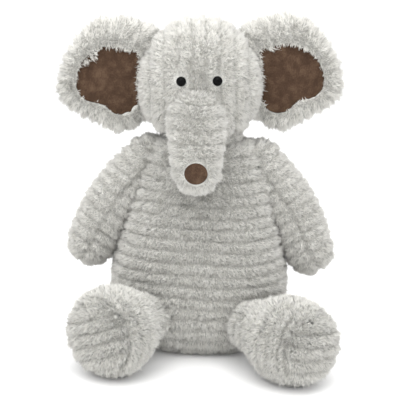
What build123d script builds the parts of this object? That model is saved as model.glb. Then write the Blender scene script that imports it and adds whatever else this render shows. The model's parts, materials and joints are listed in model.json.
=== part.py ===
"""A seated stuffed elephant in ribbed long-pile plush.

Millimetres, +Z up, the face looks along -Y and the toy's own left side is +X.
The origin is on the floor, in the middle of the torso's flat sitting face.
"""
from build123d import *
import math
import os

os.makedirs("parts", exist_ok=True)

# ---------------------------------------------------------------- driving dimensions
pile_wall = 6.0           # cover thickness: backing cloth with its laid-over pile
ear_wall = 5.0            # the same cloth, cut for the ears
fit_gap = 0.2             # between a cover and its filling
seam_gap = 0.6            # between two bodies that turn against each other

torso_depth_ratio = 0.70  # front-to-back size over side-to-side size
torso_top = 199.0

neck_height = 200.0       # the ball of stuffing that the head turns on
neck_radius = 20.5

head_depth_ratio = 0.92
head_offset = -4.0        # the head sits a little to the toy's right
head_tilt = 3.2           # degrees, leaning to the toy's right
head_bottom = 205.5
head_top = 307.0

trunk_root = Vector(head_offset, -41, 224)
trunk_tip = Vector(head_offset - 3.5, -71, 182)
trunk_root_radius = 24.0
trunk_tip_radius = 19.5
patch_radius = 10.8
patch_thickness = 1.2

eye_spacing = 31.0
eye_height = 254.0
eye_radius = 4.3
eye_stem_radius = 1.6
eye_stem_length = 13.0
washer_radius = 5.5
washer_thickness = 1.5
washer_depth = 7.6        # from the bead's centre to the middle of the washer
eye_yaw = 14.0            # degrees that each eye looks outwards
eye_proud = 2.0           # how far the bead's centre stands in front of the cloth
face_half_width = 53.0    # of the head, at the height of the eyes

ear_root_x = 54.8         # inner edge of the ear, from the head's own centre line
ear_thickness = 16.0
ear_edge_radius = 7.4
ear_forward = 8.0         # degrees that the ear's outer edge leans forwards
ear_middle = (90.0, 254.0)
ear_half_size = 40.0
lining_thickness = 1.2

shoulder = Vector(49, 2, 172)
hand = Vector(100, -4, 96)
shoulder_radius = 22.0
hand_radius = 20.5
torso_flank_x = 55.5      # the plane beside the shoulders that the arms are sewn to

hip = Vector(47, -49, 39)
leg_splay = 38.0          # degrees that each leg points outwards
leg_length = 67.0         # from the hip ball's centre to the rim of the sole
leg_root_radius = 22.0
foot_radius = 38.0
sole_crown = 8.5          # how far the middle of the sole bulges past its rim
sole_split = 60.0         # the sole panel is sewn in here, from the hip ball's centre

tail_root = Vector(0, 57, 44)
tail_radius = 5.0
tail_length = 42.0
tail_drop = 40.0          # degrees below level that the tail points

label_width = 18.0
label_depth = 26.0
label_thickness = 0.6
label_seam = Vector(16, 50, 34)


# ---------------------------------------------------------------- shared shapes
def spin(edges):
    """Turn a closed half outline (radius, height) round the Z axis."""
    return revolve(Plane.XZ * make_face(edges), Axis.Z)


def oval_body(sections, shrink=0.0):
    """A smooth closed body through flat ovals, given as (height, half width, half depth).

    shrink makes the same body smaller by that much on every side.
    """
    low, high = sections[0][0], sections[-1][0]
    squeeze = (high - low - 2 * shrink) / (high - low)
    ovals = []
    for height, half_width, half_depth in sections:
        level = low + shrink + (height - low) * squeeze
        ovals.append(Pos(0, 0, level) * Ellipse(half_width - shrink, half_depth - shrink))
    return loft(ovals)


def bulb(root_radius, tip_radius, length):
    """Two balls and the cone that touches both, with the root ball's centre at the origin."""
    lean = math.degrees(math.asin((root_radius - tip_radius) / length))
    root_arc = CenterArc((0, 0), root_radius, -90, 90 + lean)
    tip_arc = CenterArc((0, length), tip_radius, lean, 90 - lean)
    side = Line(root_arc @ 1, tip_arc @ 0)
    return spin(root_arc + side + tip_arc + Line(tip_arc @ 1, root_arc @ 0))


def along(start, end, solid):
    """Place a solid that was made along +Z so that it runs from start towards end."""
    return Plane(origin=start, z_dir=(end - start).normalized()).location * solid


def slab(y_low, y_high, reach=700.0):
    """All space between two planes that face front and back."""
    return Pos(0, (y_low + y_high) / 2, 0) * Box(reach, y_high - y_low, reach)


def ball(centre, radius):
    return Pos(*centre) * Sphere(radius)


def mirrored(solid):
    return mirror(solid, about=Plane.YZ)


def save(name, solid):
    """Write one piece; a single solid goes out as itself, not wrapped in a list."""
    pieces = solid.solids()
    piece = pieces[0] if len(pieces) == 1 else Compound(pieces)
    piece.label = name
    export_step(piece, f"parts/{name}.step")


front_half = slab(-300, 0)
back_half = slab(0, 300)
neck_centre = Vector(0, 0, neck_height)
neck_socket = ball(neck_centre, neck_radius + seam_gap)

# The head and all that it carries lean about the neck.
lean_head = Pos(*neck_centre) * Rot(0, -head_tilt, 0) * Pos(*(-neck_centre))


# ---------------------------------------------------------------- torso
# (height, half width): the torso is a bag, widest low down, that draws in to the shoulders.
torso_outline = [
    (0, 50), (12, 68), (36, 77.5), (62, 79), (96, 75),
    (130, 66), (160, 58), (178, 52), (189, 44), (195.5, 33), (torso_top, 18),
]
torso_sections = [(z, x, x * torso_depth_ratio) for z, x in torso_outline]
bead_bag_radius = 17.0
bead_bag_length = 44.0
bead_bag_wall = 1.0
bead_bag_place = Vector(0, 12, 28)


def hip_socket(side):
    return ball(Vector(side * hip.X, hip.Y, hip.Z), leg_root_radius + seam_gap)


def lying_capsule(radius, length):
    """A round-ended roll, lying from side to side behind the hips."""
    roll = Cylinder(radius, length) + Pos(0, 0, length / 2) * Sphere(radius)
    roll = roll + Pos(0, 0, -length / 2) * Sphere(radius)
    return Pos(*bead_bag_place) * Rot(0, 90, 0) * roll


def make_torso():
    outer = oval_body(torso_sections)
    hollow = oval_body(torso_sections, pile_wall)
    filling = oval_body(torso_sections, pile_wall + fit_gap)
    openings = [neck_socket, hip_socket(1), hip_socket(-1), ball(tail_root, tail_radius + seam_gap)]
    for half, name in ((front_half, "front"), (back_half, "back")):
        panel = (outer & half) - (hollow & half)
        for opening in openings:
            panel = panel - opening
        save(f"torso_{name}_panel", panel)
    # A cloth bag of plastic beads lies in the bottom of the filling.
    bag = lying_capsule(bead_bag_radius, bead_bag_length)
    for opening in openings:
        filling = filling - opening
    save("torso_filling", filling - lying_capsule(bead_bag_radius + fit_gap, bead_bag_length))
    save("bead_bag", bag - lying_capsule(bead_bag_radius - bead_bag_wall, bead_bag_length))
    save("bead_fill", lying_capsule(bead_bag_radius - bead_bag_wall - fit_gap, bead_bag_length))
    return outer


# ---------------------------------------------------------------- head
# (height, half width)
head_outline = [
    (head_bottom, 24), (210, 38), (219, 48), (240, 54), (262, 52),
    (281, 43.5), (295, 31), (head_top, 10),
]
head_sections = [(z, x, x * head_depth_ratio) for z, x in head_outline]


def eye_place(side):
    """Where the eye's bead sits on the face; its stem points along local -Z."""
    x = side * eye_spacing / 2
    surface = -head_depth_ratio * face_half_width * math.sqrt(1 - (x / face_half_width) ** 2)
    surface = surface - eye_proud
    return Pos(head_offset + x, surface, eye_height) * Rot(90, 0, 0) * Rot(0, side * eye_yaw, 0)


def make_eye(side):
    """A moulded eye: a domed bead, its stem through the cloth, and the washer that locks it."""
    bead = Sphere(eye_radius)
    stem = Pos(0, 0, -eye_stem_length / 2) * Cylinder(eye_stem_radius, eye_stem_length)
    at_washer = Pos(0, 0, -washer_depth)
    washer = at_washer * Cylinder(washer_radius, washer_thickness)
    washer = washer - at_washer * Cylinder(eye_stem_radius, 2 * washer_thickness)
    room = at_washer * Cylinder(washer_radius + fit_gap, washer_thickness + 2 * fit_gap)
    stem_room = Cylinder(eye_stem_radius + fit_gap / 2, eye_stem_length + 2 * fit_gap)
    room = room + Pos(0, 0, -eye_stem_length / 2) * stem_room
    room = room + Sphere(eye_radius + fit_gap / 2)
    place = eye_place(side)
    return place * (bead + stem), place * washer, place * room


def make_head():
    shift = Pos(head_offset, 0, 0)
    outer = shift * oval_body(head_sections)
    hollow = shift * oval_body(head_sections, pile_wall)
    filling = shift * oval_body(head_sections, pile_wall + fit_gap)
    openings = [lean_head.inverse() * neck_socket]
    for side, name in ((1, "left"), (-1, "right")):
        eye, washer, room = make_eye(side)
        openings.append(room)
        save(f"eye_{name}", lean_head * eye)
        save(f"eye_washer_{name}", lean_head * washer)
    trunk_room = bulb(trunk_root_radius + seam_gap, trunk_tip_radius + seam_gap, (trunk_tip - trunk_root).length)
    openings.append(along(trunk_root, trunk_tip, trunk_room))
    for half, name in ((front_half, "front"), (back_half, "back")):
        panel = (outer & half) - (hollow & half)
        for opening in openings:
            panel = panel - opening
        save(f"head_{name}_panel", lean_head * panel)
    for opening in openings:
        filling = filling - opening
    save("head_filling", lean_head * filling)
    save("neck_filling", ball(neck_centre, neck_radius))


# ---------------------------------------------------------------- trunk
def make_trunk():
    length = (trunk_tip - trunk_root).length
    outer = along(trunk_root, trunk_tip, bulb(trunk_root_radius, trunk_tip_radius, length))
    inner = along(trunk_root, trunk_tip,
                  bulb(trunk_root_radius - pile_wall, trunk_tip_radius - pile_wall, length))
    core = along(trunk_root, trunk_tip,
                 bulb(trunk_root_radius - pile_wall - fit_gap, trunk_tip_radius - pile_wall - fit_gap, length))
    # The round suede patch lies on the end of the trunk and faces forwards.
    front_tube = Pos(trunk_tip.X, trunk_tip.Y, trunk_tip.Z) * Rot(90, 0, 0)
    patch_tool = front_tube * Pos(0, 0, trunk_tip_radius) * Cylinder(patch_radius, trunk_tip_radius)
    patch = (ball(trunk_tip, trunk_tip_radius + patch_thickness) & patch_tool)
    patch = patch - ball(trunk_tip, trunk_tip_radius)
    save("trunk_cover", lean_head * (outer - inner))
    save("trunk_filling", lean_head * core)
    save("trunk_tip_patch", lean_head * patch)


# ---------------------------------------------------------------- ears
ear_rim = [
    (76, 304.5), (101, 298), (119, 277), (126, 245), (116, 217), (94, 205), (73, 203),
]
ear_root_top = (ear_root_x, 298)
ear_root_bottom = (ear_root_x, 212)
lining_edge = [
    (60.5, 270), (73, 279), (90, 279), (103, 270), (111, 253), (109, 240),
    (98, 234), (86, 227), (72, 218), (62, 224), (60, 248),
]


def ear_plate(shrink):
    """The flat ear, upright at y = 0, smaller by shrink all round."""
    middle_x, middle_z = ear_middle
    keep = 1 - shrink / ear_half_size
    outline = [ear_root_top] + ear_rim + [ear_root_bottom]
    outline = [(middle_x + (x - middle_x) * keep, middle_z + (z - middle_z) * keep) for x, z in outline]
    face = make_face(Spline(outline) + Line(outline[-1], outline[0]))
    return extrude(Plane.XZ * face, amount=ear_thickness / 2 - shrink, both=True)


def make_ear(name, side):
    """A flat padded ear, made upright and then leaned forwards about its root."""
    outer = ear_plate(0.0)
    outer = fillet(outer.edges(), ear_edge_radius)
    cover = outer - ear_plate(ear_wall)
    padding = ear_plate(ear_wall + fit_gap)
    cut = make_face(Spline(lining_edge, periodic=True))
    lining = Pos(0, -ear_thickness / 2, 0) * extrude(Plane.XZ * cut, amount=lining_thickness)
    hinge_x = ear_root_x + ear_thickness / 2
    lean = Pos(hinge_x, 0, 0) * Rot(0, 0, -ear_forward) * Pos(-hinge_x, 0, 0)
    for part_name, solid in (
        ("front_panel", cover & front_half),
        ("back_panel", cover & back_half),
        ("padding", padding),
        ("lining", lining),
    ):
        placed = lean * solid
        if side < 0:
            placed = mirrored(placed)
        save(f"ear_{name}_{part_name}", lean_head * Pos(head_offset, 0, 0) * placed)


# ---------------------------------------------------------------- arms
def torso_clearance(extra, all_round=False):
    """Spaces beside the torso that an arm, swinging about its shoulder, has to stay out of.

    Below the shoulder the torso widens, so there the space is turned about the arm's own axis,
    and behind the shoulder too, because that side comes down as the arm swings up.
    """
    clearance = seam_gap + extra
    beside_x = torso_flank_x + clearance
    reach = 130.0
    widest = max(x for z, x in torso_outline)
    steps = [(x + clearance, shoulder.Z - z) for z, x in torso_outline if 60 < z < shoulder.Z]
    steps = [(beside_x, 0)] + steps[::-1] + [(widest + clearance, reach)]
    outline = Polyline(steps + [(0, reach), (0, 0)], close=True)
    turned = revolve(make_face(outline), Axis.X)
    to_shoulder = Pos(0, shoulder.Y, shoulder.Z)
    beside = Pos(beside_x / 2, 0, shoulder.Z) * Box(beside_x, 2 * reach, 2 * reach)
    if all_round:
        return [to_shoulder * turned, beside]
    in_front_below = turned & (Pos(0, -reach, -reach) * Box(3 * reach, 2 * reach, 2 * reach))
    behind = turned & (Pos(0, reach, 0) * Box(3 * reach, 2 * reach, 3 * reach))
    return [to_shoulder * in_front_below, to_shoulder * behind, beside]


def arm_shape(shrink):
    length = (hand - shoulder).length
    return along(shoulder, hand, bulb(shoulder_radius - shrink, hand_radius - shrink, length))


def make_arm(name, side):
    outer = arm_shape(0.0)
    hollow = arm_shape(pile_wall)
    filling = arm_shape(pile_wall + fit_gap)
    for space in torso_clearance(0.0):
        outer = outer - space
    for space in torso_clearance(pile_wall, all_round=True):
        hollow = hollow - space
    for space in torso_clearance(pile_wall + fit_gap, all_round=True):
        filling = filling - space
    for part_name, solid in (("cover", outer - hollow), ("filling", filling)):
        if side < 0:
            solid = mirrored(solid)
        save(f"arm_{name}_{part_name}", solid)


# ---------------------------------------------------------------- legs
# (radius, distance from the hip): the leg swells into the foot and closes over the sole.
leg_outline = [
    (24.5, 12.0), (31.0, 23.0), (36.5, 35.0), (foot_radius, 47.0), (foot_radius - 2.0, 58.0),
    (29.5, leg_length + 1.0), (17.0, leg_length + 6.5),
]


def leg_shape(shrink):
    """The leg along +Z from its hip ball: a stub that swells into a ball-like foot."""
    root = leg_root_radius - shrink
    points = [(0, -root), (root, 0)]
    for radius, distance in leg_outline:
        # Past the rim of the sole the surface faces forwards, so there it shrinks backwards.
        share = min(1.0, max(0.0, (distance - sole_split) / sole_crown))
        points.append((radius - shrink, distance - share * shrink))
    points = points + [(0, leg_length + sole_crown - shrink)]
    root_arc = CenterArc((0, 0), root, -90, 90)
    side_curve = Spline(points[1:], tangents=[(0, 1), (-1, 0)])
    return spin(root_arc + side_curve + Line(points[-1], points[0]))


def make_leg(name, side):
    outward = math.radians(leg_splay)
    direction = Vector(math.sin(outward), -math.cos(outward), 0)
    outer = leg_shape(0.0)
    inner = leg_shape(pile_wall)
    filling = leg_shape(pile_wall + fit_gap)
    beyond = Pos(0, 0, sole_split + foot_radius) * Box(3 * foot_radius, 3 * foot_radius, 2 * foot_radius)
    shell = outer - inner
    for part_name, solid in (
        (f"leg_{name}_cover", shell - beyond),
        (f"sole_{name}_panel", shell & beyond),
        (f"leg_{name}_filling", filling),
    ):
        placed = along(hip, hip + direction, solid)
        if side < 0:
            placed = mirrored(placed)
        save(part_name, placed)


# ---------------------------------------------------------------- tail and label
def make_tail():
    drop = math.radians(tail_drop)
    end = tail_root + Vector(0, math.cos(drop), -math.sin(drop)) * tail_length
    save("tail", along(tail_root, end, bulb(tail_radius, tail_radius + 1.5, tail_length)))


def make_care_label(torso):
    """A blank tape, sewn into the closing seam low down at the back, beside the tail."""
    tape = Pos(*label_seam) * Pos(0, label_depth / 2, 0) * Box(label_thickness, label_depth, label_width)
    save("care_label", tape - torso)


torso_solid = make_torso()
make_head()
make_trunk()
for side_name, side_sign in (("left", 1), ("right", -1)):
    make_ear(side_name, side_sign)
    make_arm(side_name, side_sign)
    make_leg(side_name, side_sign)
make_tail()
make_care_label(torso_solid)
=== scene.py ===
"""Looks of the seated plush elephant: ribbed skins, mesh pile, suede, eyes, studio and camera."""
import json
import math

import bmesh
import bpy
import numpy as np
from mathutils import Matrix, Vector


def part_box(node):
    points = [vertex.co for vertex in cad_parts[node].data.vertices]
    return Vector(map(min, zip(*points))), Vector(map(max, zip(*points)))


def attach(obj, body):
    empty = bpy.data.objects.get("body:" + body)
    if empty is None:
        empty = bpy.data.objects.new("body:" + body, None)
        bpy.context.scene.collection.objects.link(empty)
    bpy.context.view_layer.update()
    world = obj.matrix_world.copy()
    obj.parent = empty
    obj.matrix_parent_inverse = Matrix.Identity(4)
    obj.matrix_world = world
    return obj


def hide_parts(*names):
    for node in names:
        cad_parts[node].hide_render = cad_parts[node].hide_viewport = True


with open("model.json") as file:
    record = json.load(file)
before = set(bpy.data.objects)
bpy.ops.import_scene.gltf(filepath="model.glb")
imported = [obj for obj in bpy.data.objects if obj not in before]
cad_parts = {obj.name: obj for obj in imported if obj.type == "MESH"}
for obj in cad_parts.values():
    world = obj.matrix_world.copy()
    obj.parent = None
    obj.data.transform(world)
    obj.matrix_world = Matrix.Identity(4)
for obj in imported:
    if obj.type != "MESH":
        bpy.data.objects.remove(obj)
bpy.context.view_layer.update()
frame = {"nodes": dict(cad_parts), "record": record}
MM = 0.001
random = np.random.default_rng(17)


# ------------------------------------------------------------------ what the frame says
def joint_point(name):
    """Where a joint turns, in the row frame."""
    for joint in frame["record"]["behaviour"]["joints"]:
        if joint["name"] == name:
            return np.array(joint["pos_m"], float)
    raise KeyError(name)


def joined_box(*nodes):
    """The lowest and highest corners of several CAD nodes together."""
    lows, highs = zip(*[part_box(node) for node in nodes])
    return np.min(np.array(lows), axis=0), np.max(np.array(highs), axis=0)


torso_low, torso_high = joined_box("torso_front_panel", "torso_back_panel")
torso_half_width = (torso_high[0] - torso_low[0]) / 2
torso_half_depth = (torso_high[1] - torso_low[1]) / 2
torso_height = torso_high[2] - torso_low[2]
neck_point = joint_point("neck_turn")
trunk_root = joint_point("trunk_swing")

# The head leans on the neck and sits a little to the toy's right, and the feet point outwards.
head_lean = math.radians(3.2)
head_offset = -4.0 * MM
leg_splay = math.radians(38.0)
# The cloth lies under the CAD surface by the inset, so that the pile on it reaches out to that surface.
skin_inset = 4.0 * MM
floor_gap = 0.3 * MM
rib_pitch = 10.2 * MM
rib_height = 2.6 * MM
groove_power = 0.44
matting_size = 19 * MM
most_matted = 0.55
pile_length = 5.0 * MM
shortest_pile_share = 0.17
pile_root_depth = 0.5 * MM
clump_size = 3.2 * MM
clump_count = 4096

lean_matrix = (
    Matrix.Translation(Vector(neck_point))
    @ Matrix.Rotation(-head_lean, 4, "Y")
    @ Matrix.Translation(-Vector(neck_point))
)


# ------------------------------------------------------------------ small maths
def unit(vectors):
    lengths = np.linalg.norm(vectors, axis=-1, keepdims=True)
    return vectors / np.maximum(lengths, 1e-9)


def moved(points, matrix):
    """Points through a 4 by 4 matrix."""
    m = np.array(matrix)
    return points @ m[:3, :3].T + m[:3, 3]


def smooth_line(points, count, closed=False):
    """A Catmull-Rom curve through the points, evenly spaced along its length."""
    p = np.array(points, float)
    if closed:
        p = np.vstack([p[-1], p, p[0], p[1]])
    else:
        p = np.vstack([2 * p[0] - p[1], p, 2 * p[-1] - p[-2]])
    t = np.linspace(0, 1, 24, endpoint=False)[:, None]
    spans = []
    for a, b, c, d in zip(p[:-3], p[1:-2], p[2:-1], p[3:]):
        spans.append(0.5 * (2 * b + (c - a) * t + (2 * a - 5 * b + 4 * c - d) * t ** 2
                            + (3 * b - a - 3 * c + d) * t ** 3))
    spans.append(p[-2][None, :])
    line = np.vstack(spans)
    steps = np.linalg.norm(np.diff(line, axis=0), axis=1)
    along = np.concatenate([[0], np.cumsum(steps)])
    wanted = np.linspace(0, along[-1], count, endpoint=not closed)
    return np.column_stack([np.interp(wanted, along, line[:, k]) for k in range(line.shape[1])])


def ripple(points, size, seed=0.0):
    """Smooth, repeatable waviness between about -1 and 1, with bumps of the given size."""
    k = 2 * math.pi / size
    x, y, z = points[..., 0] * k, points[..., 1] * k, points[..., 2] * k
    wave = np.sin(x * 0.9 + 1.7 * np.sin(z * 0.53 + seed) + seed)
    wave = wave + np.sin(z * 1.1 + 1.3 * np.sin(y * 0.71 + 2 * seed) + 2.1)
    wave = wave + np.sin(y * 1.3 + 1.5 * np.sin(x * 0.47 - seed) + 4.2)
    return wave / 3


def cell_choice(points, size, table):
    """One row of the table for each small cell of space, so that neighbours share it."""
    cell = np.floor(points / size).astype(np.int64)
    # The three large primes scatter neighbouring cells over the table.
    index = (cell[:, 0] * 73856093) ^ (cell[:, 1] * 19349663) ^ (cell[:, 2] * 83492791)
    return table[np.abs(index) % len(table)]


clump_table = random.normal(0.0, 1.0, (clump_count, 3))


# ------------------------------------------------------------------ surfaces
class Surface:
    """A closed body as rings of points, with outward normals and the rib height at each point."""

    def __init__(self, rings, ridge, amount):
        self.base = rings
        self.stand = self.normals(rings)
        self.ridge = ridge
        self.points = rings + self.stand * (ridge * amount)[..., None]
        self.normal = self.normals(self.points)

    def press(self, amount, flatten):
        """Push the surface in by amount, and lower its ribs by the share flatten."""
        self.points = self.points - self.stand * amount[..., None]
        self.ridge = self.ridge * (1 - flatten)
        self.normal = self.normals(self.points)

    @staticmethod
    def normals(rings):
        around = np.roll(rings, -1, axis=1) - np.roll(rings, 1, axis=1)
        up = np.gradient(rings, axis=0)
        normal = unit(np.cross(around, up))
        # The first and last rings shrink to a point, so they take their neighbours' direction.
        normal[0] = unit(normal[1].mean(axis=0))
        normal[-1] = unit(normal[-2].mean(axis=0))
        return normal


def ring_body(profile, outline, matrix, ribs, amount, rows=150, columns=220, matted=0.7):
    """Turn a (radius, height) profile round an outline, in a local frame whose Z is the axis.

    ribs gives the rib phase from the local points, the length along the profile and the turn.
    matted is how strongly neighbouring ribs close up on each other.
    """
    line = smooth_line(profile, rows)
    line[:, 0] = np.maximum(line[:, 0], 0)
    line[0, 0] = line[-1, 0] = 1e-5
    turn = np.linspace(0, 2 * math.pi, columns, endpoint=False)
    shape = outline(turn)
    local = np.empty((rows, columns, 3))
    local[..., 0] = line[:, :1] * shape[None, :, 0]
    local[..., 1] = line[:, :1] * shape[None, :, 1]
    local[..., 2] = line[:, 1:]
    steps = np.linalg.norm(np.diff(line, axis=0), axis=1)
    along = np.concatenate([[0], np.cumsum(steps)])[:, None] + np.zeros((1, columns))
    phase = ribs(local, along, turn[None, :] + np.zeros((rows, 1)))
    # Each rib is a low flat-topped cushion, and the groove beside it is narrow.
    ridge = np.abs(np.sin(math.pi * phase)) ** groove_power
    # Here and there the pile of two ribs closes over the groove between them.
    closed = np.clip(matted * ripple(local, matting_size, 6.0), 0, most_matted)
    ridge = ridge + (1 - ridge) * closed
    return Surface(moved(local, matrix), ridge, amount)


def oval(width=1.0, depth=1.0, squareness=2.0):
    """A round outline; a squareness above 2 flattens its sides."""
    def outline(turn):
        reach = np.abs(np.cos(turn)) ** squareness + np.abs(np.sin(turn)) ** squareness
        reach = reach ** (-1 / squareness)
        return np.column_stack([width * reach * np.cos(turn), depth * reach * np.sin(turn)])
    return outline


def star(points, centre):
    """An outline given by its own points, as seen from its centre."""
    closed = smooth_line(points, 400, closed=True) - np.array(centre)
    angle = np.unwrap(np.arctan2(closed[:, 1], closed[:, 0]))
    order = np.argsort(np.mod(angle, 2 * math.pi))
    wrapped = np.mod(angle, 2 * math.pi)[order]
    distance = np.linalg.norm(closed, axis=1)[order]

    def outline(turn):
        reach = np.interp(turn, wrapped, distance, period=2 * math.pi)
        return np.column_stack([reach * np.cos(turn), reach * np.sin(turn)])

    return outline


# ------------------------------------------------------------------ meshes
def new_mesh_object(name, points, faces, material, uv=None, smooth=True, normals=None):
    """Build a mesh from arrays. faces is a list of (count, size) index arrays."""
    mesh = bpy.data.meshes.new(name)
    loops = np.concatenate([f.ravel() for f in faces]).astype(np.int32)
    sizes = np.concatenate([np.full(len(f), f.shape[1]) for f in faces]).astype(np.int32)
    starts = np.concatenate([[0], np.cumsum(sizes)[:-1]]).astype(np.int32)
    mesh.vertices.add(len(points))
    mesh.vertices.foreach_set("co", np.ascontiguousarray(points, np.float32).ravel())
    mesh.loops.add(len(loops))
    mesh.loops.foreach_set("vertex_index", loops)
    mesh.polygons.add(len(sizes))
    mesh.polygons.foreach_set("loop_start", starts)
    mesh.update(calc_edges=True)
    mesh.polygons.foreach_set("use_smooth", np.full(len(sizes), smooth))
    if uv is not None:
        layer = mesh.uv_layers.new(name="OFBake")
        layer.data.foreach_set("uv", uv[loops].astype(np.float32).ravel())
    mesh.materials.append(material)
    if normals is not None:
        mesh.normals_split_custom_set_from_vertices(normals)
    obj = bpy.data.objects.new(name, mesh)
    bpy.context.scene.collection.objects.link(obj)
    return obj


def skin_object(name, rings, material, every=2):
    """One closed body through rings of points, with a single point at each end."""
    ends = rings[0].mean(axis=0), rings[-1].mean(axis=0)
    middle = rings[1:-1:every, ::every]
    rows, columns = middle.shape[:2]
    index = np.arange(rows * columns).reshape(rows, columns)
    right = np.roll(index, -1, axis=1)
    quads = np.stack([index[:-1], right[:-1], right[1:], index[1:]], axis=-1).reshape(-1, 4)
    first, last = rows * columns, rows * columns + 1
    fans = np.concatenate([
        np.stack([np.full(columns, first), right[0], index[0]], axis=-1),
        np.stack([index[-1], right[-1], np.full(columns, last)], axis=-1),
    ])
    points = np.vstack([middle.reshape(-1, 3), ends])
    points[:, 2] = np.maximum(points[:, 2], floor_gap)
    return new_mesh_object(name, points, [quads, fans], material)


def sample_surface(surface, keep, per_mm2):
    """Random places on the surface, evenly spread by area.

    For each place: its point, the smooth body's normal, the ribbed cloth's softened normal and the
    rib height.
    """
    p = surface.points
    q = np.roll(p, -1, axis=1)
    area = np.linalg.norm(np.cross(q[:-1] - p[:-1], p[1:] - p[:-1]), axis=-1)
    area = area * keep[:-1]
    total = int(area.sum() / MM ** 2 * per_mm2)
    edges = np.cumsum(area.ravel())
    cell = np.searchsorted(edges, random.random(total) * edges[-1])
    row, column = np.unravel_index(cell, area.shape)
    beside = (column + 1) % p.shape[1]
    a, b = random.random(total)[:, None], random.random(total)[:, None]

    def mixed(values):
        low = values[row, column] * (1 - a) + values[row, beside] * a
        high = values[row + 1, column] * (1 - a) + values[row + 1, beside] * a
        return low * (1 - b) + high * b

    ridge = mixed(surface.ridge[..., None])[:, 0]
    stand = unit(mixed(surface.stand))
    return mixed(p), stand, unit(mixed(surface.normal) + 0.25 * stand), ridge


def pile_object(name, samples, comb, material, length=pile_length, width=1.0 * MM,
                scatter=0.30, tousle=0.30, trim=None):
    """Mesh pile: each tuft is a three-sided tapering spike that leans with comb and its clump.

    scatter is how unevenly the tufts lean, and tousle how unevenly they catch the light.
    trim gives the share of the full length at each root, and no tuft is shorter than the least share.
    """
    if trim is not None:
        share = trim(samples[0])
        long_enough = share > shortest_pile_share
        samples = [values[long_enough] for values in samples]
        length = length * share[long_enough]
    points, normal, shade, ridge = samples
    count = len(points)
    clump = cell_choice(points, clump_size, clump_table)
    own = random.normal(0.0, 1.0, (count, 3))
    lean = comb(points, normal) + scatter * (0.7 * clump + 0.7 * own)
    reach = length * (0.42 + 0.58 * ridge) * (0.85 + 0.3 * random.random(count))
    stray = 1 + 0.5 * (random.random(count) > 0.95)
    reach = (reach * stray * (1 + 0.1 * clump[:, 0]))[:, None]
    way = unit(normal + lean)
    root = points - normal * pile_root_depth
    across = unit(np.cross(way, own))
    aside = np.cross(way, across)
    half = (width * (0.4 + 0.25 * random.random(count)))[:, None]
    corners = [root + half * (math.cos(turn) * across + math.sin(turn) * aside)
               for turn in (0.0, 2 * math.pi / 3, 4 * math.pi / 3)]
    vertices = np.stack([*corners, root + way * reach], axis=1)
    vertices[..., 2] = np.maximum(vertices[..., 2], floor_gap)
    sides = np.array([[0, 1, 3], [1, 2, 3], [2, 0, 3]])
    faces = (np.arange(count)[:, None, None] * 4 + sides).reshape(-1, 3)
    # Across the map: the tuft's own tint. Up the map: from root to tip, which the material paints from
    # dark shade to light; tufts in the grooves stay lower on it, as painted groove shade.
    tint = np.clip(0.5 + 0.15 * clump[:, 1] + 0.12 * own[:, 0], 0.03, 0.97)
    # Painted shade: the deeper the groove, the less far up the map a tuft reaches, so the darker it is
    # painted.
    depth = 0.8 * (1 - ridge)
    uv = np.empty((count, 4, 2))
    uv[:, :, 0] = tint[:, None] + np.array([[-0.012, 0.012, 0.0, 0.0]])
    uv[:, :, 1] = np.array([[0.02, 0.02, 0.02, 0.97]]) * (1 - depth[:, None])
    # Pile scatters light as one soft surface, so a tuft is lit mostly as the cloth below it is.
    soft = unit(shade + tousle * own + 0.8 * tousle * clump)
    return new_mesh_object(name, vertices.reshape(-1, 3), [faces], material,
                           uv=uv.reshape(-1, 2), normals=np.repeat(soft, 4, axis=0))


# ------------------------------------------------------------------ materials
def new_material(name):
    material = bpy.data.materials.new(name)
    material.use_nodes = True
    nodes = material.node_tree.nodes
    return material, nodes, material.node_tree.links, nodes["Principled BSDF"]


def ramp(nodes, stops):
    node = nodes.new("ShaderNodeValToRGB")
    elements = node.color_ramp.elements
    while len(elements) < len(stops):
        elements.new(0.5)
    for element, (place, colour) in zip(elements, stops):
        element.position = place
        element.color = (*colour, 1.0)
    return node


def plush_material():
    """Pale warm grey pile with painted shade: dark at the root, lighter to the tip, a little different
    in each tuft.
    """
    material, nodes, links, shader = new_material("grey_plush_pile")
    uv = nodes.new("ShaderNodeUVMap")
    uv.uv_map = "OFBake"
    split = nodes.new("ShaderNodeSeparateXYZ")
    links.new(uv.outputs["UV"], split.inputs["Vector"])
    # root and shaft are painted shade deep in the pile and in the grooves; tip is the pile's own pale
    # grey.
    root, shaft, tip = (0.28, 0.27, 0.25), (0.64, 0.635, 0.605), (0.92, 0.91, 0.875)
    dusty, usual, clean = (0.74, 0.735, 0.705), (0.95, 0.945, 0.925), (1.0, 1.0, 0.99)
    depth = ramp(nodes, [(0.0, root), (0.25, shaft), (0.6, tip)])
    tint = ramp(nodes, [(0.0, dusty), (0.5, usual), (1.0, clean)])
    links.new(split.outputs["Y"], depth.inputs["Fac"])
    links.new(split.outputs["X"], tint.inputs["Fac"])
    mix = nodes.new("ShaderNodeMix")
    mix.data_type = "RGBA"
    mix.blend_type = "MULTIPLY"
    mix.inputs["Factor"].default_value = 1.0
    links.new(depth.outputs["Color"], mix.inputs["A"])
    links.new(tint.outputs["Color"], mix.inputs["B"])
    links.new(mix.outputs["Result"], shader.inputs["Base Color"])
    shader.inputs["Roughness"].default_value = 0.95
    shader.inputs["Specular IOR Level"].default_value = 0.15
    shader.inputs["Sheen Weight"].default_value = 0.25
    shader.inputs["Sheen Roughness"].default_value = 0.6
    return material


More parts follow.
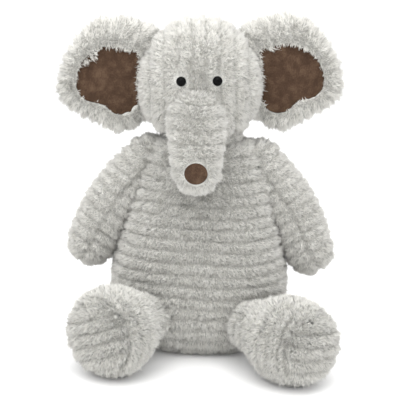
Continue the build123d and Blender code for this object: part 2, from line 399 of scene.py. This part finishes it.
def backing_material():
    """The knitted cloth that the pile stands in; it shows only deep between the ribs."""
    material, nodes, links, shader = new_material("grey_plush_backing")
    place = nodes.new("ShaderNodeTexCoord")
    noise = nodes.new("ShaderNodeTexNoise")
    noise.inputs["Scale"].default_value = 900.0
    noise.inputs["Detail"].default_value = 4.0
    links.new(place.outputs["Object"], noise.inputs["Vector"])
    colour = ramp(nodes, [(0.3, (0.46, 0.455, 0.43)), (0.7, (0.66, 0.655, 0.625))])
    links.new(noise.outputs["Fac"], colour.inputs["Fac"])
    links.new(colour.outputs["Color"], shader.inputs["Base Color"])
    bump = nodes.new("ShaderNodeBump")
    bump.inputs["Strength"].default_value = 0.6
    bump.inputs["Distance"].default_value = 0.0008
    links.new(noise.outputs["Fac"], bump.inputs["Height"])
    links.new(bump.outputs["Normal"], shader.inputs["Normal"])
    shader.inputs["Roughness"].default_value = 0.97
    return material


def suede_material():
    """Brown short-nap suede: mottled, with paler brushed patches and a fine grain."""
    material, nodes, links, shader = new_material("brown_suede")
    place = nodes.new("ShaderNodeTexCoord")
    nap = nodes.new("ShaderNodeTexNoise")
    nap.inputs["Scale"].default_value = 130.0
    nap.inputs["Detail"].default_value = 6.0
    grain = nodes.new("ShaderNodeTexNoise")
    grain.inputs["Scale"].default_value = 1500.0
    grain.inputs["Detail"].default_value = 3.0
    for node in (nap, grain):
        links.new(place.outputs["Object"], node.inputs["Vector"])
    blend = nodes.new("ShaderNodeMix")
    blend.inputs["Factor"].default_value = 0.5
    links.new(nap.outputs["Fac"], blend.inputs["A"])
    links.new(grain.outputs["Fac"], blend.inputs["B"])
    pressed, brown, brushed = (0.041, 0.023, 0.0145), (0.059, 0.034, 0.021), (0.105, 0.0655, 0.042)
    colour = ramp(nodes, [(0.38, pressed), (0.5, brown), (0.64, brushed)])
    links.new(blend.outputs["Result"], colour.inputs["Fac"])
    links.new(colour.outputs["Color"], shader.inputs["Base Color"])
    bump = nodes.new("ShaderNodeBump")
    bump.inputs["Strength"].default_value = 0.5
    bump.inputs["Distance"].default_value = 0.0005
    links.new(grain.outputs["Fac"], bump.inputs["Height"])
    links.new(bump.outputs["Normal"], shader.inputs["Normal"])
    shader.inputs["Roughness"].default_value = 0.92
    shader.inputs["Specular IOR Level"].default_value = 0.12
    shader.inputs["Sheen Weight"].default_value = 0.06
    shader.inputs["Sheen Roughness"].default_value = 0.5
    return material


def speckled_material(name, dark, light, scale, roughness, sheen=0.0, specular=0.4):
    """A plain material with a fine two-tone speckle, for the small hard or hidden pieces."""
    material, nodes, links, shader = new_material(name)
    place = nodes.new("ShaderNodeTexCoord")
    noise = nodes.new("ShaderNodeTexNoise")
    noise.inputs["Scale"].default_value = scale
    links.new(place.outputs["Object"], noise.inputs["Vector"])
    colour = ramp(nodes, [(0.35, dark), (0.65, light)])
    links.new(noise.outputs["Fac"], colour.inputs["Fac"])
    links.new(colour.outputs["Color"], shader.inputs["Base Color"])
    shader.inputs["Roughness"].default_value = roughness
    shader.inputs["Specular IOR Level"].default_value = specular
    shader.inputs["Sheen Weight"].default_value = sheen
    return material


pile_cloth = plush_material()
backing = backing_material()
suede = suede_material()
wadding = speckled_material("wadding", (0.74, 0.74, 0.73), (0.88, 0.88, 0.87), 260.0, 0.95,
                            sheen=0.3)


# ------------------------------------------------------------------ how the pile lies
def combed(direction, amount):
    """Pile brushed one way along the cloth."""
    way = np.array(direction, float)
    return lambda points, normal: amount * (way - normal * (normal @ way)[:, None])


def combed_away(centre, amount, drop=0.25):
    """Pile that fans out from a line through centre along Y, and hangs a little."""
    def comb(points, normal):
        out = points - np.array(centre)
        out[:, 1] *= 0.15
        return amount * unit(out) + np.array([0, 0, -drop])
    return comb


def plush_body(name, body, surface, nodes):
    """The closed cloth of one stuffed part, which stands for the cover panels named in nodes."""
    skin = skin_object(name, surface.points, backing)
    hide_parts(*nodes)
    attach(skin, body)
    return skin


def add_pile(name, body, surface, comb, keep=None, density=1.6, **pile):
    """The pile of one part, over what keep marks of its surface."""
    if keep is None:
        keep = np.ones(surface.ridge.shape, bool)
    fur = pile_object(name, sample_surface(surface, keep, density), comb, pile_cloth, **pile)
    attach(fur, body)
    return fur


# ------------------------------------------------------------------ torso
def build_torso():
    w = torso_half_width - skin_inset + 1 * MM
    h = torso_height - 2 * MM
    profile = [(0, 0.5 * MM), (0.44 * w, 1.2 * MM), (0.62 * w, 5 * MM), (0.77 * w, 12.5 * MM),
               (0.89 * w, 0.125 * h), (0.97 * w, 0.20 * h), (w, 0.29 * h), (0.97 * w, 0.44 * h),
               (0.87 * w, 0.63 * h), (0.765 * w, 0.79 * h), (0.69 * w, 0.885 * h),
               (0.57 * w, 0.955 * h), (0.36 * w, 0.995 * h), (0, 1.005 * h)]

    def ribs(local, along, turn):
        level = local[..., 2] + 1.6 * MM * ripple(local, 75 * MM, 0.4)
        level = level + 0.5 * MM * ripple(local, 17 * MM, 2.2)
        return level / rib_pitch

    depth = (torso_half_depth - skin_inset + 1 * MM) / w
    surface = ring_body(profile, oval(1.0, depth, 2.25), Matrix.Identity(4), ribs, rib_height,
                        rows=280, columns=320)
    # The closing seam runs up the middle of the bag, front and back, and pulls it in a little.
    seam = np.exp(-(surface.base[..., 0] / (1.5 * MM)) ** 2) * (surface.base[..., 2] < 45 * MM)
    surface.press(seam * 1.2 * MM, 0.35 * seam)
    plush_body("torso", "torso", surface, ["torso_front_panel", "torso_back_panel"])
    comb = combed((0, 0, -1), 0.28)
    front = surface.base[..., 1] <= 0
    # The pile of the body is one mesh for each quarter, to keep every mesh to a moderate size.
    lower = surface.base[..., 2] <= 0.42 * h
    for level, band in (("lower", lower), ("upper", ~lower)):
        add_pile(f"torso_{level}_front_pile", "torso", surface, comb, front & band)
        add_pile(f"torso_{level}_back_pile", "torso", surface, comb, ~front & band)
    stuffing("torso_stuffing", "torso", surface, "torso_filling")


def stuffing(name, body, surface, node, inset=6 * MM):
    """The wadding inside a cover: the same form, smaller by inset all round, and lumpy."""
    rings = surface.base[::3, ::4] - surface.stand[::3, ::4] * inset
    lumps = 1.2 * MM * ripple(rings, 28 * MM, 1.0) + 0.5 * MM * ripple(rings, 9 * MM, 3.0)
    rings = rings + surface.stand[::3, ::4] * (lumps * min(1.0, inset / (4 * MM)))[..., None]
    wad = skin_object(name, rings, wadding, every=1)
    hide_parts(node)
    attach(wad, body)
    return wad


# ------------------------------------------------------------------ neck
def build_neck():
    """The gathered cloth between head and body; the head turns and nods on it."""
    low, high = neck_point[2] - 14 * MM, neck_point[2] + 18 * MM
    profile = [(0, low), (20 * MM, low + MM), (28 * MM, low + 7 * MM), (30 * MM, neck_point[2]),
               (28 * MM, high - 7 * MM), (20 * MM, high - MM), (0, high)]
    surface = ring_body(profile, oval(1.0, 0.86), Matrix.Identity(4),
                        lambda local, along, turn: along / rib_pitch, 1.2 * MM, rows=60, columns=160)
    shown = np.abs(surface.base[..., 2] - neck_point[2]) < 11 * MM
    plush_body("neck", "neck", surface, ["neck_filling"])
    add_pile("neck_pile", "neck", surface, combed((0, 0, -1), 0.3), shown)


# ------------------------------------------------------------------ head
def build_head():
    low, high = joined_box("head_front_panel", "head_back_panel")
    w = (high[0] - low[0]) / 2 - skin_inset + 0.5 * MM
    bottom = neck_point[2] + 4.5 * MM
    h = high[2] - 5.5 * MM - bottom
    profile = [(0, 0), (0.42, 0), (0.70, 0.04), (0.87, 0.13), (0.97, 0.26), (1, 0.38), (0.965, 0.56),
               (0.82, 0.745), (0.60, 0.875), (0.32, 0.955), (0, 0.985)]
    profile = [(across * w, bottom + up * h) for across, up in profile]
    vertical_pitch = 11.6 * MM
    depth = 0.92

    def ribs(local, along, turn):
        # The ribs run up the face and over the crown, side by side from ear to ear.
        across = local[..., 0] + 0.8 * MM * ripple(local, 50 * MM, 2.0)
        across = across + 0.4 * MM * ripple(local, 15 * MM, 0.7)
        return across / vertical_pitch + 0.5

    matrix = lean_matrix @ Matrix.Translation((head_offset, 0, 0))
    surface = ring_body(profile, oval(1.0, depth), matrix, ribs, 0.9 * rib_height,
                        rows=220, columns=300, matted=0.4)
    plush_body("head", "head", surface, ["head_front_panel", "head_back_panel"])
    comb = combed_away((head_offset, 0, neck_point[2] + 50 * MM), 0.22, drop=0.22)
    front = surface.base[..., 1] <= 0
    eyes = [np.mean(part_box(f"eye_{side}"), axis=0) for side in ("left", "right")]

    def around_eyes(points):
        beside = np.array([1, 0.35, 1])
        near = np.min([np.linalg.norm((points - eye) * beside, axis=1) for eye in eyes], axis=0)
        return np.clip((near - 3.6 * MM) / (5.5 * MM), 0, 1)

    add_pile("head_front_pile", "head", surface, comb, front, tousle=0.25, trim=around_eyes)
    add_pile("head_back_pile", "head", surface, comb, ~front, tousle=0.25)
    stuffing("head_stuffing", "head", surface, "head_filling")


# ------------------------------------------------------------------ trunk
def trunk_line():
    """From the trunk's root ball to the middle of its round end, in the leaned head's frame."""
    patch_low, patch_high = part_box("trunk_tip_patch")
    cover_low, cover_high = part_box("trunk_cover")
    tip = (np.array(patch_low) + np.array(patch_high)) / 2
    radius = tip[2] - cover_low[2]
    tip[1] = patch_low[1] + radius + 1.2 * MM
    return trunk_root, tip, radius - 2.2 * MM


def axis_matrix(start, end):
    """A frame at start whose Z runs to end and whose Y points as far backwards as it can."""
    z = unit(np.array(end) - np.array(start))
    x = unit(np.cross((0.0, 1.0, 0.0), z))
    y = np.cross(z, x)
    matrix = Matrix.Identity(4)
    for column, axis in enumerate((x, y, z)):
        for row in range(3):
            matrix[row][column] = axis[row]
    matrix.translation = Vector(start)
    return matrix


def build_trunk():
    start, end, r = trunk_line()
    # The root sits a little to the toy's right, in the middle of the leaning face.
    start = start + np.array([-3 * MM, 0, 0])
    length = float(np.linalg.norm(end - start))
    matrix = axis_matrix(start, end)
    profile = [(0, -20 * MM), (0.75 * r, -17 * MM), (1.12 * r, -9 * MM), (1.25 * r, 3 * MM),
               (1.22 * r, 0.35 * length), (1.08 * r, 0.75 * length), (r, length),
               (0.86 * r, length + 0.5 * r), (0.5 * r, length + 0.87 * r), (0, length + r)]

    def ribs(local, along, turn):
        level = moved(local, matrix)[..., 2] + 1.0 * MM * ripple(local, 40 * MM, 0.9)
        return level / rib_pitch

    surface = ring_body(profile, oval(), matrix, ribs, 1.4 * MM, rows=150, columns=170)
    plush_body("trunk", "trunk", surface, ["trunk_cover"])
    patch_centre = end + np.array([0, -r, 0])

    def around_patch(points):
        gap = np.linalg.norm(points - patch_centre, axis=1)
        return np.clip((gap - 9.0 * MM) / (3 * MM), 0, 1)

    comb = combed((0, -0.1, -1), 0.3)
    add_pile("trunk_pile", "trunk", surface, comb, tousle=0.2, trim=around_patch)
    stuffing("trunk_stuffing", "trunk", surface, "trunk_filling", inset=4 * MM)
    return end, r


def suede_dome(name, rim, height, crown, body, node, matrix):
    """A piece of suede inside a rim: rings from its middle to its edge, which is turned under.
    """
    rings, columns = 16, 96
    turn = np.linspace(0, 2 * math.pi, columns, endpoint=False)
    edge = rim(turn)
    reach = np.linspace(0.0, 1.0, rings)
    points = [np.array([[0.0, 0.0, height + crown]])]
    for part in reach[1:]:
        level = height + crown * (1 - part ** 2) + 0.5 * MM * part * np.sin(3 * turn + 1)
        points.append(np.column_stack([edge * part, level]))
    points.append(np.column_stack([edge * 0.985, np.full(columns, height - 1.4 * MM)]))
    local = np.vstack(points)
    index = 1 + np.arange(len(points) - 1)[:, None] * columns + np.arange(columns)
    right = np.roll(index, -1, axis=1)
    quads = np.stack([index[:-1], index[1:], right[1:], right[:-1]], axis=-1).reshape(-1, 4)
    fan = np.stack([np.zeros(columns, int), index[0], right[0]], axis=-1)
    obj = new_mesh_object(name, moved(local, matrix), [quads, fan], suede)
    obj.modifiers.new("smooth", "SUBSURF").levels = 1
    obj.modifiers["smooth"].render_levels = 1
    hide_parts(node)
    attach(obj, body)
    return obj


def build_trunk_patch(end, trunk_radius):
    radius = 9.9 * MM
    matrix = axis_matrix(end, end + np.array([0.0, -1.0, 0.0001]))
    suede_dome("trunk_patch", oval(radius, radius * 0.92), trunk_radius + 0.2 * MM, 3.2 * MM,
               "trunk", "trunk_tip_patch", matrix)


# ------------------------------------------------------------------ ears
# The outlines of the toy's left ear and of its lining, in millimetres across and up.
ear_edge = [(35, 289), (46, 296), (60, 302), (75, 304), (90, 301), (102, 292), (112, 279.5),
            (120, 264), (124, 247), (123, 236.5), (117, 229), (107, 223), (96, 217.5), (78, 206.5),
            (66, 207), (55, 213), (46, 223), (40, 256)]
lining_edge = [(53.5, 274), (64, 277.5), (76, 281), (88, 280), (98, 275), (106, 266), (111, 253),
               (110.5, 242), (104.5, 234), (95, 230.5), (86, 227.5), (79, 220.5), (68, 218.5),
               (58.5, 223), (54.5, 232), (55, 250)]
ear_centre = (88.0, 254.0)
ear_fold_reach = 62.8 * MM
ear_forward = math.radians(8.0)
ear_flutes = 12


def ear_matrix(side):
    """Local X across the ear, local Y up, local Z out of its front face."""
    upright = Matrix(((1, 0, 0, 0), (0, 0, -1, 0), (0, 1, 0, 0), (0, 0, 0, 1)))
    fold_x = side * ear_fold_reach
    turned = (
        Matrix.Translation((fold_x, 0, 0))
        @ Matrix.Rotation(-side * ear_forward, 4, "Z")
        @ Matrix.Translation((-fold_x, 0, 0))
    )
    return lean_matrix @ Matrix.Translation((head_offset, 0, 0)) @ turned @ upright


def build_ear(name, side):
    edge = [(side * x * MM, z * MM) for x, z in ear_edge]
    centre = (side * ear_centre[0] * MM, ear_centre[1] * MM)
    outline = star(edge, centre)
    shift = Matrix.Translation((centre[0], centre[1], 0))
    matrix = ear_matrix(side) @ shift
    inverse = matrix.inverted()
    middle = np.array(matrix.translation)
    # The profile runs from the middle of the back, round the padded rim, to the middle of the front.
    half_size = 40 * MM
    profile = [(0.0, -7.2), (0.5, -7.0), (0.82, -6.0), (0.94, -3.4), (0.985, 0), (0.95, 3.4),
               (0.88, 5.2), (0.78, 5.8), (0.62, 5.6), (0.3, 5.4), (0.0, 5.4)]
    profile = [(share * half_size, level * MM) for share, level in profile]

    def flutes(local, along, turn):
        return ear_flutes * turn / math.pi + 0.5

    surface = ring_body(profile, lambda turn: outline(turn) / half_size, matrix, flutes, 0.5 * MM,
                        rows=170, columns=300)
    local = moved(surface.base, inverse)
    front = local[..., 2] > 0
    flat = [(side * x * MM - centre[0], z * MM - centre[1]) for x, z in lining_edge]
    rim = star(flat, (0.0, 0.0))

    def past_lining(points):
        """How far outside the suede's edge each point is, and how much pile laps over it there."""
        here = moved(points, inverse)
        turn = np.arctan2(here[:, 1], here[:, 0])
        edge_reach = np.linalg.norm(rim(np.mod(turn, 2 * math.pi)), axis=1)
        beyond = np.linalg.norm(here[:, :2], axis=1) - edge_reach
        upper_inner = np.clip(0.5 + 0.9 * np.cos(turn - (math.pi / 2 + side * 0.9)), 0, 1)
        return beyond, upper_inner

    def comb(points, normal):
        beyond, lapped = past_lining(points)
        outward = np.clip((beyond - 1 * MM) / (7 * MM), 0, 1)
        amount = 0.6 * outward - 0.45 * lapped * (1 - outward)
        away = unit((points - middle) * np.array([1, 0.2, 1]))
        return amount[:, None] * away + np.array([0, 0, -0.06])

    def around_lining(points):
        """No pile on the suede, but the pile beside it laps over its upper and inner edge."""
        beyond, lapped = past_lining(points)
        lap = 0.9 * MM * lapped * (1 + ripple(points, 14 * MM, 4.0))
        # On the toy's right ear a thick lock of pile falls over the upper outer corner.
        if side < 0:
            here = moved(points, inverse)[:, :2]
            lock = np.linalg.norm(here - np.array([-11 * MM, 20 * MM]), axis=1)
            lap = lap + 6 * MM * np.exp(-(lock / (7 * MM)) ** 2)
        return np.clip((beyond + lap + 0.8 * MM) / (1.2 * MM), 0, 1)

    body = f"ear_{name}"
    panels = [f"{body}_front_panel", f"{body}_back_panel"]
    plush_body(f"{body}_cloth", body, surface, panels)
    add_pile(f"{body}_back_pile", body, surface, comb, ~front, length=6.0 * MM, tousle=0.2)
    add_pile(f"{body}_front_pile", body, surface, comb, front, length=6.5 * MM, tousle=0.16,
             trim=around_lining)
    stuffing(f"{body}_stuffing", body, surface, f"{body}_padding", inset=2.4 * MM)
    suede_dome(f"{body}_suede", rim, 6.6 * MM, 0.8 * MM, body, f"{body}_lining", matrix)


# ------------------------------------------------------------------ arms
def build_arm(name, side):
    body = f"arm_{name}"
    start = joint_point(f"{body}_swing")
    low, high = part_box(f"{body}_cover")
    hand_radius = 20.5 * MM
    farthest = max(abs(low[0]), abs(high[0]))
    end = np.array([side * (farthest - hand_radius), -4 * MM, low[2] + hand_radius])
    matrix = axis_matrix(start, end)
    inverse = matrix.inverted()
    length = float(np.linalg.norm(end - start))
    # r is the radius at the shoulder and along the arm, and t is the radius of the round hand.
    r, t = 20.2 * MM, hand_radius - skin_inset + 1.6 * MM
    profile = [(0, -r), (0.55 * r, -0.84 * r), (0.92 * r, -0.4 * r), (r, 0.1 * r),
               (1.02 * r, 0.35 * length), (r, 0.7 * length), (t, length),
               (0.84 * t, length + 0.55 * t), (0.5 * t, length + 0.87 * t), (0, length + t)]

    def ribs(local, along, turn):
        # The ribs run across the arm and meet half a rib out of step at a crease down its front.
        half_step = np.where(local[..., 0] * side > 0, 0.5, 0.0)
        return along / rib_pitch + half_step + 0.06 * ripple(local, 30 * MM, 3.0)

    surface = ring_body(profile, oval(), matrix, ribs, 0.85 * rib_height, rows=150, columns=150)
    # The stuffed arm bows outwards between the shoulder and the hand.
    local = moved(surface.base, inverse)
    along_arm = np.clip(local[..., 2] / length, 0, 1)
    outward = -side * np.array(matrix.col[0].xyz)
    bow = np.sin(math.pi * along_arm)[..., None] * 5.5 * MM * outward
    surface.points = surface.points + bow
    crease = np.exp(-(local[..., 0] / (2.2 * MM)) ** 2)
    crease = crease * (surface.base[..., 1] < start[1])
    surface.press(crease * 1.8 * MM, 0.4 * crease)
    plush_body(f"{body}_cloth", body, surface, [f"{body}_cover"])
    buried = torso_covers(surface.base, 5 * MM)
    comb = combed((side * 0.35, 0, -1), 0.25)
    add_pile(f"{body}_pile", body, surface, comb, ~buried, tousle=0.22)
    stuffing(f"{body}_stuffing", body, surface, f"{body}_filling", inset=5 * MM)


# How wide the body is at each level: shares of its height, and the shares of its greatest width.
torso_levels = [0, 0.06, 0.18, 0.31, 0.48, 0.65, 0.8, 0.9, 0.96, 1.0]
torso_widths = [0.63, 0.86, 0.98, 1.0, 0.95, 0.835, 0.734, 0.66, 0.58, 0.43]


def torso_covers(points, margin):
    """Where points lie deep inside the torso, so that no pile is needed there."""
    share = np.clip(points[..., 2] / torso_height, 0, 1)
    widths = np.interp(share, torso_levels, torso_widths)
    a = widths * torso_half_width - margin
    b = widths * torso_half_depth - margin
    within = (points[..., 0] / a) ** 2 + (points[..., 1] / b) ** 2 < 1
    return within & (points[..., 2] < torso_height - margin)


# ------------------------------------------------------------------ legs and soles
def build_leg(name, side):
    start = joint_point(f"leg_{name}_lift")
    # The toy's left leg lies further out and forward than its right, and its foot has slumped.
    splay, stretch, slump = leg_splay - math.radians(2.0), 1.0, 0.0
    if side > 0:
        splay, stretch, slump = leg_splay + math.radians(6.0), 1.1, 2.0 * MM
        start = start + np.array([2.5 * MM, -3 * MM, -slump])
    direction = np.array([side * math.sin(splay), -math.cos(splay), 0.0])
    end = start + direction * 67 * MM
    matrix = axis_matrix(start, end)
    # Local Y points up the sole, so that the sole's ribs can lie level.
    up = Matrix.Rotation(math.atan2(-matrix[2][0], matrix[2][1]), 4, "Z")
    matrix = matrix @ up
    foot_radius, sole_seam = 38.0 * MM, 60 * MM
    foot = foot_radius - skin_inset + 0.5 * MM - slump
    profile = [(0, -18 * MM), (13 * MM, -13 * MM), (18 * MM, -2 * MM), (21 * MM, 11 * MM),
               (27 * MM, 22 * MM), (32.5 * MM, 34 * MM), (foot, 46 * MM), (0.94 * foot, 57 * MM),
               (0.77 * foot, 66 * MM), (0.46 * foot, 71.5 * MM), (0, 73 * MM)]
    profile = [(radius, reach * stretch) for radius, reach in profile]
    split = sole_seam * stretch
    # The sole's ribs slope by this much across it, and the two feet slope differently.
    slant = 0.12 if side > 0 else -0.42

    def ribs(local, along, turn):
        rings = local[..., 2] / rib_pitch + 0.1
        across = (local[..., 1] + slant * local[..., 0]) / math.hypot(1, slant)
        bars = across / rib_pitch + 0.5 + 0.07 * ripple(local, 30 * MM, 5.0)
        return np.where(local[..., 2] > split, bars, rings)

    surface = ring_body(profile, oval(), matrix, ribs, rib_height, rows=190, columns=210)
    local = moved(surface.base, matrix.inverted())
    seam = np.exp(-((local[..., 2] - split) / (1.6 * MM)) ** 2)
    surface.press(seam * 2.0 * MM, 0.6 * seam)
    sole = local[..., 2] > split
    buried = torso_covers(surface.base, 6 * MM)
    comb = combed((0, 0, -1), 0.25)
    body = f"leg_{name}"
    plush_body(f"{body}_cloth", body, surface, [f"{body}_cover", f"sole_{name}_panel"])
    add_pile(f"{body}_pile", body, surface, comb, ~sole & ~buried, tousle=0.4)
    add_pile(f"sole_{name}_pile", body, surface, comb, sole, density=1.7, tousle=0.44)
    stuffing(f"{body}_stuffing", body, surface, f"{body}_filling")


# ------------------------------------------------------------------ tail and label
def build_tail():
    low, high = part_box("tail")
    start = joint_point("tail_wag")
    end = np.array([start[0], high[1] - 6.5 * MM, low[2] + 6.5 * MM])
    length = float(np.linalg.norm(end - start))
    profile = [(0, -4 * MM), (4 * MM, -2 * MM), (5 * MM, 0.2 * length), (5.5 * MM, 0.7 * length),
               (6.5 * MM, length), (4 * MM, length + 5 * MM), (0, length + 6 * MM)]
    tail_rib_pitch = 8 * MM
    surface = ring_body(profile, oval(), axis_matrix(start, end),
                        lambda local, along, turn: along / tail_rib_pitch, 0.8 * MM, rows=60, columns=60)
    plush_body("tail_cloth", "tail", surface, ["tail"])
    add_pile("tail_pile", "tail", surface, combed((0, 0.6, -0.8), 0.5), length=5.5 * MM)


def build_label():
    """A blank folded tape that stands out of the seam and droops a little."""
    low, high = (np.array(corner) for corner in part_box("care_label"))
    rows, columns = 14, 8
    out = np.linspace(0, 1, rows)[:, None]
    across = np.linspace(0, 1, columns)[None, :]
    points = np.empty((rows, columns, 3))
    points[..., 0] = (low[0] + high[0]) / 2 + 3.0 * MM * out ** 2 * np.sin(across * 2.0 + 0.4)
    points[..., 1] = low[1] + out * (high[1] - low[1])
    points[..., 2] = low[2] + across * (high[2] - low[2]) - 1.5 * MM * out ** 2
    index = np.arange(rows * columns).reshape(rows, columns)
    quads = np.stack([index[:-1, :-1], index[1:, :-1], index[1:, 1:], index[:-1, 1:]], axis=-1)
    tape = speckled_material("label_tape", (0.80, 0.80, 0.78), (0.92, 0.92, 0.90), 1800.0, 0.45,
                             sheen=0.3)
    label = new_mesh_object("care_tape", points.reshape(-1, 3), [quads.reshape(-1, 4)], tape)
    solid = label.modifiers.new("thickness", "SOLIDIFY")
    solid.thickness = 0.5 * MM
    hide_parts("care_label")
    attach(label, "torso")


# ------------------------------------------------------------------ the bead bag and the hard pieces
def build_bead_bag():
    """A small cotton bag of plastic beads in the seat, its cloth dented by what it holds."""
    low, high = (np.array(corner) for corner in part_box("bead_bag"))
    half = (high - low) / 2
    middle = Matrix.Translation(Vector((low + high) / 2))
    profile = [(0, -0.98), (0.55, -0.9), (0.86, -0.6), (0.98, 0), (0.86, 0.6), (0.55, 0.9), (0, 0.98)]
    profile = [(out * half[0], up * half[2]) for out, up in profile]
    surface = ring_body(profile, oval(1.0, half[1] / half[0]), middle,
                        lambda local, along, turn: along / (7 * MM), 0.0, rows=60, columns=120)
    surface.press(0.5 * MM * (1 + ripple(surface.base, 6 * MM, 2.0)), 0)
    cloth = speckled_material("bag_cloth", (0.70, 0.69, 0.66), (0.86, 0.85, 0.82), 1600.0, 0.9,
                              sheen=0.2)
    bag = skin_object("seat_bag", surface.points, cloth, every=1)
    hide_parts("bead_bag")
    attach(bag, "torso")


def build_beads():
    """The beads themselves, loosely packed into the room that the bag gives them."""
    low, high = (np.array(corner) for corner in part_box("bead_fill"))
    radius, spacing, bag_gap = 1.5 * MM, 3.3 * MM, 0.8 * MM
    half = (high - low) / 2 - radius - bag_gap
    reach = [np.arange(-h, h, spacing) for h in half]
    places = np.stack(np.meshgrid(*reach, indexing="ij"), axis=-1).reshape(-1, 3)
    places = places[np.sum((places / half) ** 2, axis=1) < 0.95]
    places = places + (low + high) / 2 + random.uniform(-0.25, 0.25, places.shape) * MM
    ball = bmesh.new()
    bmesh.ops.create_icosphere(ball, subdivisions=1, radius=radius)
    corners = np.array([vertex.co for vertex in ball.verts])
    faces = np.array([[vertex.index for vertex in face.verts] for face in ball.faces])
    ball.free()
    points = (places[:, None, :] + corners[None, :, :] * np.array([1, 1, 0.8])).reshape(-1, 3)
    index = (np.arange(len(places))[:, None, None] * len(corners) + faces).reshape(-1, 3)
    plastic = speckled_material("beads", (0.55, 0.57, 0.60), (0.86, 0.87, 0.88), 320.0, 0.35)
    beads = new_mesh_object("seat_beads", points, [index], plastic)
    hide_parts("bead_fill")
    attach(beads, "torso")


def dress_hard_nodes():
    """The CAD nodes that stay as they are: the eyes and their washers."""
    eye = speckled_material("eye_bead", (0.0015, 0.0015, 0.0015), (0.004, 0.004, 0.004), 300.0, 0.12,
                            specular=0.06)
    washer = speckled_material("washer_plastic", (0.72, 0.72, 0.70), (0.80, 0.80, 0.78), 700.0, 0.5)
    for side in ("left", "right"):
        for node, material in ((f"eye_{side}", eye), (f"eye_washer_{side}", washer)):
            obj = frame["nodes"][node]
            obj.data.materials.clear()
            obj.data.materials.append(material)


# ------------------------------------------------------------------ studio and camera
def build_studio():
    """A wide pale floor, a bright even sky and three large soft lamps."""
    material, nodes, links, shader = new_material("studio_floor")
    place = nodes.new("ShaderNodeTexCoord")
    noise = nodes.new("ShaderNodeTexNoise")
    noise.inputs["Scale"].default_value = 3.0
    links.new(place.outputs["Object"], noise.inputs["Vector"])
    colour = ramp(nodes, [(0.0, (0.93, 0.93, 0.93)), (1.0, (0.97, 0.97, 0.97))])
    links.new(noise.outputs["Fac"], colour.inputs["Fac"])
    links.new(colour.outputs["Color"], shader.inputs["Base Color"])
    shader.inputs["Roughness"].default_value = 0.9
    floor_half = 6.0
    corners = floor_half * np.array([(-1, -1, 0), (1, -1, 0), (1, 1, 0), (-1, 1, 0)])
    floor = new_mesh_object("studio_floor", corners, [np.array([[0, 1, 2, 3]])], material, smooth=False)
    world = bpy.data.worlds.new("studio_sky")
    bpy.context.scene.world = world
    world.use_nodes = True
    sky = world.node_tree.nodes["Background"]
    sky.inputs["Color"].default_value = (1.0, 1.0, 1.0, 1.0)
    sky.inputs["Strength"].default_value = 1.27
    toy_middle = Vector((0, 0, 0.15))
    for name, place, power, size in (
        ("key_lamp", (-0.8, -1.1, 1.2), 5.6, 1.0),
        ("fill_lamp", (1.2, -1.0, 1.0), 3.0, 1.2),
        ("top_lamp", (0.0, -0.35, 1.0), 5.2, 0.8),
    ):
        lamp = bpy.data.lights.new(name, "AREA")
        lamp.energy = power
        lamp.size = size
        obj = bpy.data.objects.new(name, lamp)
        bpy.context.scene.collection.objects.link(obj)
        obj.location = place
        obj.rotation_mode = "QUATERNION"
        obj.rotation_quaternion = (toy_middle - Vector(place)).to_track_quat("-Z", "Y")


def build_camera():
    """From the front and a little above, with the horizon turned very slightly."""
    aim = Vector((-2.2 * MM, -20 * MM, 142.6 * MM))
    distance, elevation, roll = 1.0, math.radians(14.0), math.radians(2.4)
    back = Vector((0, -math.cos(elevation), math.sin(elevation)))
    data = bpy.data.cameras.new("camera")
    data.sensor_width = 36.0
    data.lens = 100.0
    camera = bpy.data.objects.new("camera", data)
    bpy.context.scene.collection.objects.link(camera)
    camera.location = aim + back * distance
    camera.rotation_mode = "QUATERNION"
    look = (-back).to_track_quat("-Z", "Y")
    camera.rotation_quaternion = look @ Matrix.Rotation(roll, 4, "Z").to_quaternion()
    bpy.context.scene.camera = camera
    bpy.context.scene.view_settings.view_transform = "Standard"


build_camera()
build_studio()
build_torso()
build_neck()
build_head()
build_trunk_patch(*build_trunk())
for side_name, side_sign in (("left", 1), ("right", -1)):
    build_ear(side_name, side_sign)
    build_arm(side_name, side_sign)
    build_leg(side_name, side_sign)
build_tail()
build_label()
build_bead_bag()
build_beads()
dress_hard_nodes()
